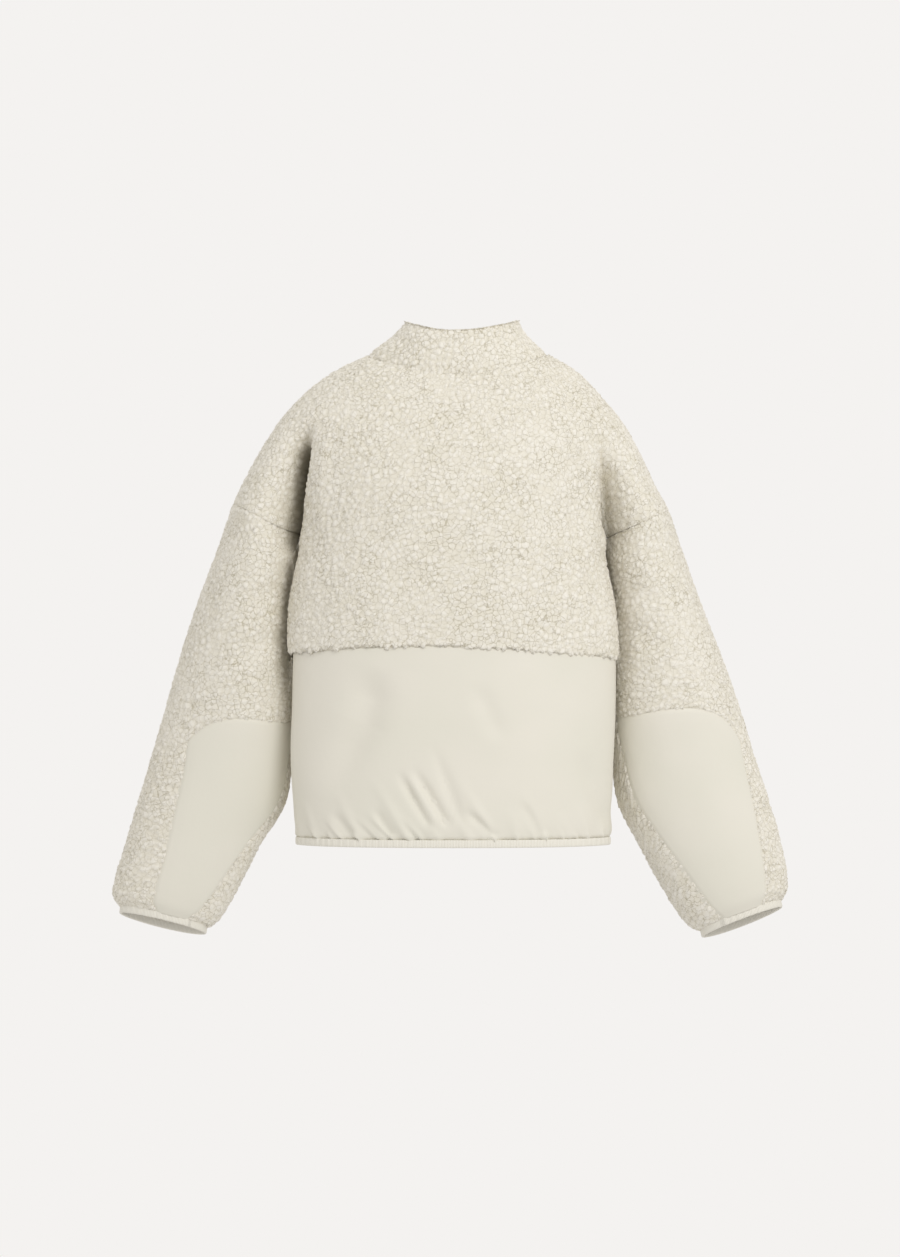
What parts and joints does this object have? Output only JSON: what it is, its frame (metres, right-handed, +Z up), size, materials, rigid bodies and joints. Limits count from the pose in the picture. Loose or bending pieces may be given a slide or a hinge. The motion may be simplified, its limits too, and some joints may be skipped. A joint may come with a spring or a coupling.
{
  "type": "sherpa jacket",
  "caption": "Cropped sherpa fleece jacket, filled out with no wearer, with a stand collar, smooth woven lower body, forearm patches and a full front zip.",
  "frame": {"origin": "middle of the neck opening, level with the collar seam at the centre back, where the wearer's neck holds the jacket up", "axes": "+Z up, +Y towards the zip front, +X towards the wearer's right sleeve"},
  "size_m": [0.8152, 0.2631, 0.7442],
  "materials": {
    "sherpa": "curly pile fleece, matt",
    "nylon": "plain woven, slight sheen",
    "elastic": "ribbed elastic binding, matt",
    "zip_tape": "woven tape, matt",
    "zip_metal": "satin"
  },
  "bodies": {
    "jacket": {"upper_back": "sherpa", "upper_front_left": "sherpa", "upper_front_right": "sherpa", "collar": "sherpa", "sleeve_left": "sherpa", "sleeve_right": "sherpa", "forearm_patch_left": "nylon", "forearm_patch_right": "nylon", "lower_back": "nylon", "lower_front_left": "nylon", "lower_front_right": "nylon", "hem_binding": "elastic", "cuff_binding_left": "elastic", "cuff_binding_right": "elastic", "zip_tape_left": "zip_tape", "zip_tape_right": "zip_tape", "zip_slider": "zip_metal"},
    "pull_tab": {"zip_pull_tab": "zip_metal"}
  },
  "joints": [
    {"name": "pull_tab_swing", "type": "hinge", "parent": "jacket", "child": "pull_tab", "pos_m": [0, 0.07607, -0.00104], "axis": [1, 0, 0], "range_deg": [0, 165]}
  ]
}
